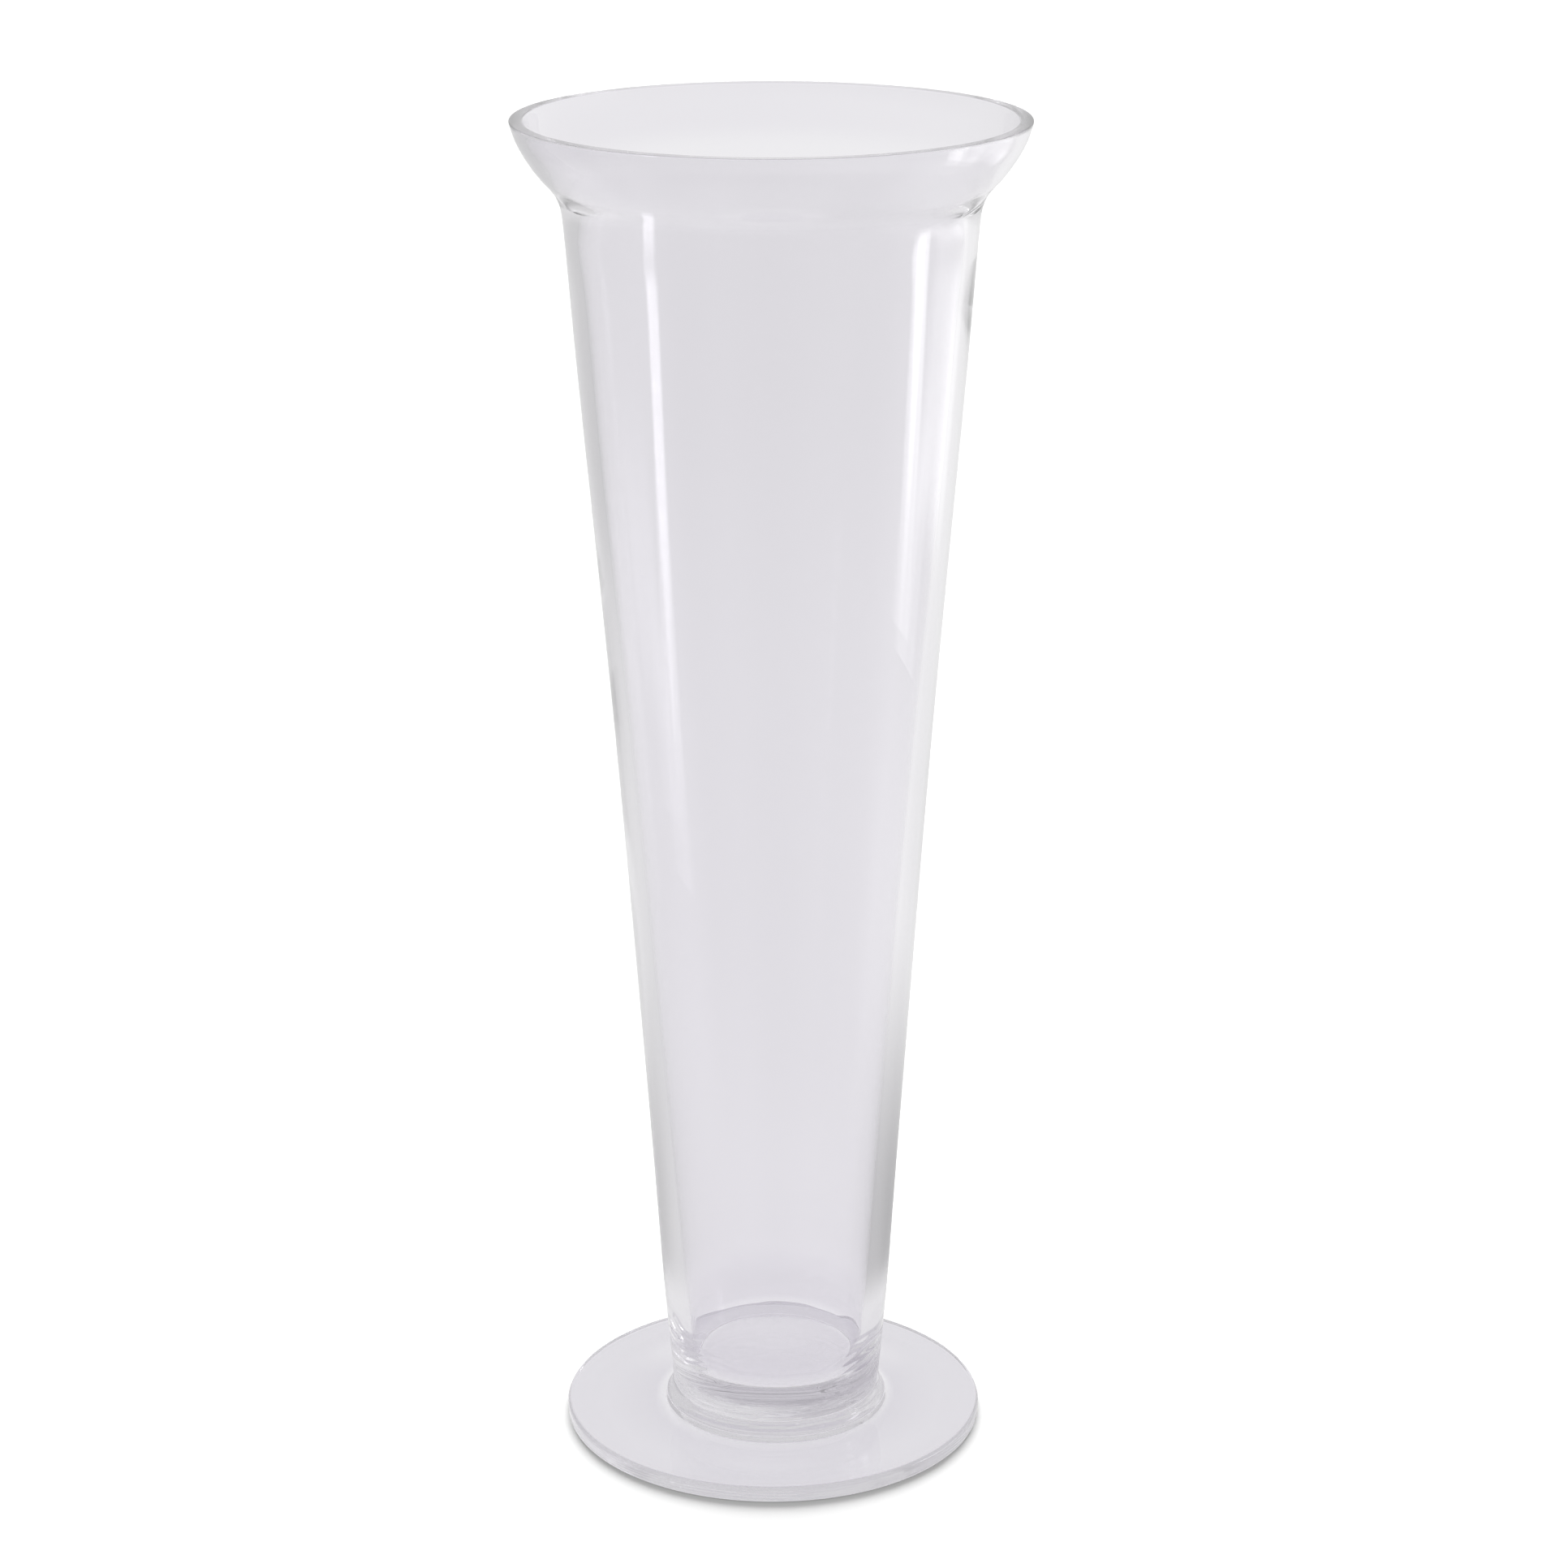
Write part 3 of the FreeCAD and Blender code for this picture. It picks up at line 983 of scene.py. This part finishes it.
    def wall(self, skin: Skin) -> Array:
        """Tint depth, from the heel's painted bands of shade and light to the even wall above it, with painted dark
        streaks in the heel and a thicker cup.

        Formula: the table of the face by height, plus the painted streaks outside, plus cup_wall_mm * (1 + cosine of
        the angle from its thick side) / 2, eased in above the crease. The lip counts as lip_wall_mm.

        Args:
            skin: the smooth surface.

        Returns:
            The tint depth in millimetres, painted shade and light included.
        """
        outer = np.interp(skin.height, *self.outer_wall_and_shade)
        inner = np.interp(skin.height, *self.inner_wall_and_shade)
        inner = np.where(skin.radius < self.floor_radius - self.floor_margin, self.floor_wall_mm, inner)
        for streak in self.cords:
            outer = outer + streak.wall(skin)
        thick_side = 0.5 + 0.5 * np.cos(skin.angle - math.radians(self.cup_thick_side_deg))
        cup = self.cup_wall_mm * thick_side * eased(skin.height, *self.cup_rise)
        return np.where(skin.on(Zone.EDGE), self.lip_wall_mm, np.where(skin.on(Zone.INSIDE), inner, outer) + cup)


@dataclass
class JoiningCollar(GlassPiece):
    """The bit of glass between bowl and foot: low, widest where it meets the foot, pinched where it meets the bowl.

    The side is pairs of a share of the collar's height and a radius in millimetres.
    """

    rows: int = 150
    bend_share: float = 0.35
    foot_radius: float = 33.9 * MM
    side_mm: Pairs = ((0.15, 33.3), (0.34, 32.8), (0.55, 32.45), (0.76, 32.25), (0.9, 31.9), (1.0, 31.3))
    wrinkles: Wander = Wander(0.03 * MM, (2, 3, 5, 7), 0.004, 61)
    wrinkles_start: Span = (1.0 * MM, 2.2 * MM)
    wrinkles_end: float = 0.8 * MM
    tool_marks: RingMarks = RingMarks(8.2 * MM, 9.4 * MM, 1.7 * MM, 0.08 * MM, 0.6 * MM, 1.2 * MM, 1.0, 63)
    solid_wall_mm: float = 11.0

    def outline(self) -> Outline:
        """Out along the lower fused face, up the side, and in along the upper fused face.

        Returns:
            The outline.
        """
        base, top, _ = self.reach()
        side = [(radius * MM, base + share * (top - base)) for share, radius in self.side_mm]
        return Outline(
            [
                Run([(0.0, base), (self.foot_radius, base)], Zone.WELD, detail=0.5),
                Run([(self.foot_radius, base), *side], Zone.OUTSIDE, detail=6.0),
                Run([side[-1], (0.0, top)], Zone.WELD, detail=0.5),
            ]
        )

    def unevenness(self, skin: Skin) -> tuple[Array, Array]:
        """Wrinkles that fade out at both fused faces, plus the rings of the tool that shaped the side.

        Args:
            skin: the smooth surface.

        Returns:
            The offsets outwards and upwards.
        """
        base, top, _ = self.reach()
        rise, full = self.wrinkles_start
        middle = eased(skin.height, base + rise, base + full) * (1.0 - eased(skin.height, top - self.wrinkles_end, top))
        marks = self.tool_marks.at(skin.angle, skin.height)
        outwards = skin.on(Zone.OUTSIDE) * (middle * self.wrinkles.at(skin.angle, skin.height) + marks)
        return outwards, np.zeros_like(outwards)

    def wall(self, skin: Skin) -> Array:
        """Solid glass, the same all over."""
        return np.full_like(skin.radius, self.solid_wall_mm)


@dataclass
class RoundFoot(GlassPiece):
    """The round foot: flat on top with a low hub, a rounded edge, and a shallow hollow inside the ring it stands on.

    The top is (radius, height) pairs from the edge in to the hub.
    """

    rows: int = 330
    bend_share: float = 0.35
    hub_radius: float = 33.9 * MM
    top_mm: Pairs = (
        (57.0, 4.9), (50.0, 4.95), (45.0, 4.98), (41.0, 5.03), (38.6, 5.13), (36.7, 5.32), (35.3, 5.6), (34.5, 5.88),
    )
    edge_height: float = 4.7 * MM
    edge_inset: float = 0.1 * MM
    edge_top_round: float = 1.6 * MM
    edge_bottom_round: float = 0.7 * MM
    undercut: float = 0.5 * MM
    ring_width: float = 6.8 * MM
    hollow_depth: float = 0.8 * MM
    hollow_middle: Span = (0.6, 0.8)
    hollow_round: float = 1.0 * MM
    hub_lean_radii: Span = (33.0 * MM, 48.0 * MM)
    hub_lean_heights: Span = (3.0 * MM, 4.8 * MM)
    edge_ripples: Wander = Wander(0.03 * MM, (2, 3, 5, 7), 0.02, 71)
    ripples_start: Span = (0.6 * MM, 1.8 * MM)
    ripples_end: Span = (3.2 * MM, 4.3 * MM)
    ripple_depth: float = 0.1 * MM
    edge_folds: RingMarks = RingMarks(0.7 * MM, 3.4 * MM, 0.9 * MM, 0.12 * MM, 0.5 * MM, 0.8 * MM, 0.9, 79)
    top_waves: Wander = Wander(0.05 * MM, (1, 2, 3, 5), 0.03, 73)
    top_wave_band: tuple[float, float, float] = (42.0 * MM, 56.0 * MM, 6.0 * MM)
    # Tint depth by radius and at the edge: deeper than the foot's real glass, as painted shade for the floor shaded
    # under the foot and for the edge, which is darker than its glass.
    radii_and_walls_with_shade_mm: Table = ((0.0, 30.0, 34.0, 37.0, 42.0, 52.0, 64.0), (5.0, 5.0, 8.0, 15.0, 14.0, 12.3, 12.3))
    edge_wall_and_shade_mm: float = 11.0
    # Painted light: a lighter tint behind the hub, for the floor behind the foot that the back lamp lights.
    lighter_behind_mm: float = 4.0
    lighter_sines: Span = (0.3, 0.75)
    lighter_start: Span = (33.0 * MM, 36.0 * MM)
    lighter_end: Span = (44.0 * MM, 52.0 * MM)

    def outline(self) -> Outline:
        """From the middle of the hollow out to the ring, round the edge, and in over the top to the hub.

        Returns:
            The outline.
        """
        base, top, fit = self.reach()
        rim = fit - self.edge_inset
        base_edge = rim - self.undercut
        ring = base_edge - self.ring_width
        shoulder = (rim, base + self.edge_height)
        out, up = self.hollow_middle
        hollow = [(0.0, base + self.hollow_depth), (out * ring, base + up * self.hollow_depth), (ring, base)]
        slope = [(radius * MM, base + height * MM) for radius, height in self.top_mm]
        return Outline(
            [
                Run(hollow, Zone.INSIDE, self.hollow_round, detail=0.7),
                Run([(ring, base), (base_edge, base)], Zone.INSIDE, self.edge_bottom_round, detail=2.0),
                Run([(base_edge, base), shoulder], Zone.EDGE, self.edge_top_round, detail=7.0),
                Run([shoulder, *slope, (self.hub_radius, top)], Zone.OUTSIDE, detail=2.5),
                Run([(self.hub_radius, top), (0.0, top)], Zone.WELD, detail=0.4),
            ]
        )

    def shift(self, radius: Array, height: Array) -> Array:
        """The hub stands under the leaning bowl, and the rest of the foot is true."""
        hub = (1.0 - eased(radius, *self.hub_lean_radii)) * eased(height, *self.hub_lean_heights)
        return self.lean.at(height) * hub

    def unevenness(self, skin: Skin) -> tuple[Array, Array]:
        """Ripples and folds on the edge, and soft waves on the top between hub and edge.

        Formula: the ripples lie ripple_depth inwards and are eased by height to the middle of the edge, the folds
        are added to them, and the waves lift the top within a band of radii.

        Args:
            skin: the smooth surface.

        Returns:
            The offsets outwards and upwards.
        """
        radius, height, angle, edge = skin.radius, skin.height, skin.angle, skin.on(Zone.EDGE)
        mid_edge = edge * eased(height, *self.ripples_start) * (1.0 - eased(height, *self.ripples_end))
        ripples = mid_edge * (self.edge_ripples.at(angle, height) - self.ripple_depth)
        top = skin.on(Zone.OUTSIDE) * band(radius, *self.top_wave_band)
        return ripples + edge * self.edge_folds.at(angle, height), top * self.top_waves.at(angle, radius)

    def wall(self, skin: Skin) -> Array:
        """The foot's tint depth by radius, deeper than its glass to paint the shade of the floor under it and lighter
        behind the hub as painted light, and the edge's own, painted shade too.

        Args:
            skin: the smooth surface.

        Returns:
            The thickness in millimetres.
        """
        flat = np.interp(skin.radius / MM, *self.radii_and_walls_with_shade_mm)
        # Painted light behind the hub.
        behind = eased(np.sin(skin.angle), *self.lighter_sines) * eased(skin.radius, *self.lighter_start)
        flat = flat - self.lighter_behind_mm * behind * (1.0 - eased(skin.radius, *self.lighter_end))
        return np.where(skin.on(Zone.EDGE), self.edge_wall_and_shade_mm, flat)


# The studio


@dataclass(frozen=True)
class SoftPanel:
    """An upright softbox beside the vase, which only the reflections in its glass show.

    Azimuths are from the camera's side of the vase, in degrees, positive to the camera's right.
    """

    name: str
    start_deg: float
    end_deg: float
    glow: float
    low_share: float = 0.3
    slant_deg: float = 0.0
    bottom: float = 0.0
    top: float = 0.34
    distance: float = 0.65
    side_fade: float = 0.2
    top_fade: float = 0.12
    rise_to: float = 1.0

    def grid(self) -> tuple[Array, Array]:
        """The panel as a grid.

        Formula: at (u, v), the point (distance * sin(a), -distance * cos(a), z), where a runs from start to end with
        u, plus slant * (1 - v), and z from bottom to top with v. The glow is eased from 0 over side_fade of u and
        top_fade of v, and rises from low_share at the bottom to 1 at rise_to of v.

        Returns:
            The points, and the glow at each.
        """
        u = np.linspace(0.0, 1.0, PANEL_POINTS)[None, :]
        v = np.linspace(0.0, 1.0, PANEL_POINTS)[:, None]
        angle = np.radians(self.start_deg + (self.end_deg - self.start_deg) * u + self.slant_deg * (1.0 - v))
        height = self.bottom + (self.top - self.bottom) * v + 0.0 * u
        points = np.stack([self.distance * np.sin(angle), -self.distance * np.cos(angle), height], axis=-1)
        sides = eased(u, 0.0, self.side_fade) * (1.0 - eased(u, 1.0 - self.side_fade, 1.0))
        rise = self.low_share + (1.0 - self.low_share) * eased(v, 0.0, self.rise_to)
        rise = rise * (1.0 - eased(v, 1.0 - self.top_fade, 1.0))
        return points, self.glow * sides * rise


@dataclass
class Studio:
    """A white floor and backdrop, softboxes at the right, one soft lamp behind and the photographer's camera.

    Reflections see a floor whose level goes by azimuth, in degrees from the camera's side. One level lies at the foot,
    then come the near, mid and far ones, each taking over within a span of distances, and the sky starts from the far.
    """

    panels: tuple[SoftPanel, ...] = (
        SoftPanel("window_narrow", 77.8, 90.0, 3.9, slant_deg=12.6, side_fade=0.25, low_share=0.08, rise_to=0.65),
        SoftPanel("window_wide", 98.0, 138.0, 0.6, bottom=0.05, top=0.27, top_fade=0.45, low_share=0.0, rise_to=0.3),
        SoftPanel("table_glow", 86.0, 113.0, 0.6, top=0.16, top_fade=0.5, low_share=1.0),
    )
    near_levels: Pairs = (
        (-180.0, 0.50), (-150.0, 0.62), (-115.0, 0.76), (-60.0, 0.60), (0.0, 0.58), (35.0, 0.68), (90.0, 0.60),
        (120.0, 0.58), (150.0, 0.48), (180.0, 0.50),
    )
    mid_levels: Pairs = (
        (-180.0, 0.80), (-150.0, 0.84), (-120.0, 0.78), (-90.0, 0.45), (-45.0, 0.25), (0.0, 0.35), (40.0, 0.62),
        (60.0, 0.65), (90.0, 1.0), (125.0, 0.95), (150.0, 0.88), (180.0, 0.80),
    )
    far_levels: Pairs = (
        (-180.0, 0.80), (-150.0, 0.66), (-120.0, 0.60), (-90.0, 0.38), (-45.0, 0.20), (0.0, 0.35), (40.0, 0.62),
        (60.0, 0.60), (90.0, 0.95), (125.0, 0.95), (150.0, 0.95), (180.0, 0.80),
    )
    under_level: float = 0.88
    upward_level: float = 0.76
    upward_rise: float = 0.6
    under_to_near: Span = (0.085, 0.12)
    near_to_mid: Span = (0.14, 0.4)
    mid_to_far: Span = (0.45, 1.1)
    backdrop_span: Span = (0.4, 1.7)
    backdrop_far: float = 0.95
    near_floor: Span = (0.0, 0.3)
    wide_floor: Span = (0.32, 9.0)
    floor_height: float = -0.0003
    floor_color: float = 0.8
    floor_lift: float = 0.1
    ambient: float = 0.3
    lamp_strength: float = 5.0
    lamp_rise_deg: float = 45.0
    lamp_spread_deg: float = 56.0
    lens_mm: float = 91.24
    sensor_mm: float = 36.0
    camera_clip: Span = (0.05, 50.0)
    camera_place: tuple[float, float, float] = (0.00338, -1.11833, 0.56643)
    camera_down_deg: float = 17.984
    bounces: int = 256

    def build(self) -> None:
        """Sets up everything round the vase, with bounces enough for the many faces of the heel."""
        self._world()
        self._floor()
        self._panels()
        self._lamp()
        self._camera()
        bpy.context.scene.view_settings.view_transform = "Standard"
        cycles = bpy.context.scene.cycles
        cycles.caustics_reflective = cycles.caustics_refractive = False
        cycles.max_bounces = cycles.transmission_bounces = self.bounces
        cycles.glossy_bounces = cycles.transparent_max_bounces = self.bounces

    def _path_masks(self, sheet: NodeSheet) -> tuple[Socket, Socket]:
        """Tells rays apart by their way.

        Args:
            sheet: the tree that gets the nodes.

        Returns:
            Masks for a ray straight from the camera or through glass, and for one that was reflected on its way.
        """
        path = sheet.put("ShaderNodeLightPath").outputs
        reflected = sheet.math("GREATER_THAN", path["Glossy Depth"], 0.5)
        direct = sheet.math("MAXIMUM", path["Is Camera Ray"], path["Is Transmission Ray"])
        return sheet.math("MULTIPLY", direct, sheet.math("SUBTRACT", 1.0, reflected)), reflected

    def _world(self) -> None:
        """White straight on, a dim studio in reflections, and a plain level for the light on the floor."""
        world = bpy.data.worlds.new("white_studio")
        bpy.context.scene.world = world
        sheet = cleared(world)
        direct, reflected = self._path_masks(sheet)
        ray = sheet.put("ShaderNodeTexCoord").outputs["Generated"]
        around = sheet.azimuth_level(ray, self.far_levels)
        dim = sheet.ranged(sheet.parts(ray)[2], 0.0, self.upward_rise, around, self.upward_level)
        level = sheet.math("ADD", sheet.math("MULTIPLY", reflected, dim), direct)
        rest = sheet.math("SUBTRACT", sheet.math("SUBTRACT", 1.0, reflected), direct, clamp=True)
        level = sheet.math("ADD", level, sheet.math("MULTIPLY", rest, self.ambient))
        sky = sheet.put("ShaderNodeBackground", {"Color": WHITE, "Strength": level})
        sheet.put("ShaderNodeOutputWorld", {"Surface": sky})

    def _floor(self) -> None:
        """A plain pale floor that takes the vase's shadow, white to the camera and through the glass.

        Formula: a disc of rings, evenly spaced near the vase and ever wider beyond.
        """
        near_rings = np.linspace(*self.near_floor, NEAR_RINGS)
        rings = np.concatenate([near_rings, np.geomspace(*self.wide_floor, WIDE_RINGS)])[:, None]
        angle = np.linspace(0.0, TURN, RING_POINTS)[None, :]
        flat = self.floor_height + 0.0 * rings * angle
        points = np.stack([rings * np.cos(angle), rings * np.sin(angle), flat], axis=-1)
        floor = placed("floor", grid_mesh("floor", points))
        made = bpy.data.materials.new("white_floor")
        sheet = cleared(made)
        direct, reflected = self._path_masks(sheet)
        transmitted = sheet.put("ShaderNodeLightPath").outputs["Is Transmission Ray"]
        through = sheet.math("MULTIPLY", direct, transmitted)
        matt = sheet.put("ShaderNodeBsdfDiffuse", {"Color": (self.floor_color,) * 3 + (1.0,)})
        lift = sheet.put("ShaderNodeEmission", {"Strength": sheet.math("MULTIPLY", direct, self.floor_lift)})
        seen = sheet.put("ShaderNodeAddShader", {0: matt, 1: lift})
        place = sheet.place()
        away = sheet.put("ShaderNodeVectorMath", {0: place}, operation="LENGTH").outputs["Value"]
        near, mid, far = (
            sheet.azimuth_level(place, levels) for levels in (self.near_levels, self.mid_levels, self.far_levels)
        )
        beside = sheet.ranged(away, *self.under_to_near, self.under_level, near)
        between = sheet.ranged(away, *self.near_to_mid, beside, mid)
        glow = sheet.ranged(away, *self.mid_to_far, between, far)
        backdrop = sheet.ranged(away, *self.backdrop_span, 1.0, self.backdrop_far)
        level = sheet.math("ADD", sheet.math("MULTIPLY", reflected, glow), sheet.math("MULTIPLY", through, backdrop))
        shown = sheet.put("ShaderNodeEmission", {"Strength": level})
        either = sheet.math("ADD", reflected, through, clamp=True)
        mixed = sheet.put("ShaderNodeMixShader", {0: either, 1: seen, 2: shown})
        sheet.put("ShaderNodeOutputMaterial", {"Surface": mixed})
        floor.data.materials.append(made)

    def _panels(self) -> None:
        """The softboxes, which no ray sees before its first reflection."""
        made = bpy.data.materials.new("softbox")
        made.cycles.emission_sampling = "NONE"
        sheet = cleared(made)
        _, reflected = self._path_masks(sheet)
        glow = sheet.put("ShaderNodeAttribute", attribute_name=GLOW_ATTRIBUTE).outputs["Fac"]
        light = sheet.put("ShaderNodeEmission", {"Strength": sheet.math("MULTIPLY", glow, reflected)})
        clear = sheet.put("ShaderNodeBsdfTransparent")
        sheet.put("ShaderNodeOutputMaterial", {"Surface": sheet.put("ShaderNodeAddShader", {0: clear, 1: light})})
        for panel in self.panels:
            points, glows = panel.grid()
            mesh = grid_mesh(panel.name, points)
            store_points(mesh, GLOW_ATTRIBUTE, glows)
            mesh.materials.append(made)
            box = placed(panel.name, mesh)
            box.visible_camera = box.visible_diffuse = box.visible_shadow = False

    def _lamp(self) -> None:
        """One wide soft light from behind and above, which throws the foot's shadow forwards."""
        light = bpy.data.lights.new("back_light", "SUN")
        light.angle = math.radians(self.lamp_spread_deg)
        light.energy = self.lamp_strength
        lamp = placed("back_light", light)
        lamp.rotation_euler = (math.radians(self.lamp_rise_deg - 90.0), 0.0, 0.0)
        lamp.visible_glossy = lamp.visible_transmission = lamp.visible_camera = False

    def _camera(self) -> None:
        """The photographer's camera, a little above the lip and looking down."""
        lens = bpy.data.cameras.new("camera")
        lens.lens, lens.sensor_width = self.lens_mm, self.sensor_mm
        lens.clip_start, lens.clip_end = self.camera_clip
        camera = placed("camera", lens)
        camera.location = self.camera_place
        camera.rotation_euler = (math.radians(90.0 - self.camera_down_deg), 0.0, 0.0)
        bpy.context.scene.camera = camera


def main() -> None:
    """Loads the frame, blows the glass and sets up the studio."""
    logging.basicConfig(level=logging.INFO, format="%(name)s: %(message)s")
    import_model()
    effects = GlassEffects()
    welded = welded_material()
    foot_glass = ClearGlass(
        "foot_glass",
        tint=(0.906, 0.899, 0.918),
        deep_tint=(0.906, 0.899, 0.918),
        worn_band=(-0.001, 0.0001),
        worn_roughness=0.15,
        shade_head_on=0.5,
        shade_grazing=0.15,
    )
    gathers: tuple[GlassPiece, ...] = (
        BlownBowl("blown_bowl", "vase_body", ClearGlass("bowl_glass")),
        JoiningCollar("joining_collar", "stem_collar", ClearGlass("collar_glass", worn_band=(1.0, 1.1))),
        RoundFoot("round_foot", "foot_disc", foot_glass),
    )
    for gather in gathers:
        piece = gather.build(effects, welded)
        LOG.info("%s: %d faces, stands for %s", piece.name, len(piece.data.polygons), gather.node)
    Studio().build()


if __name__ == "__main__":
    main()
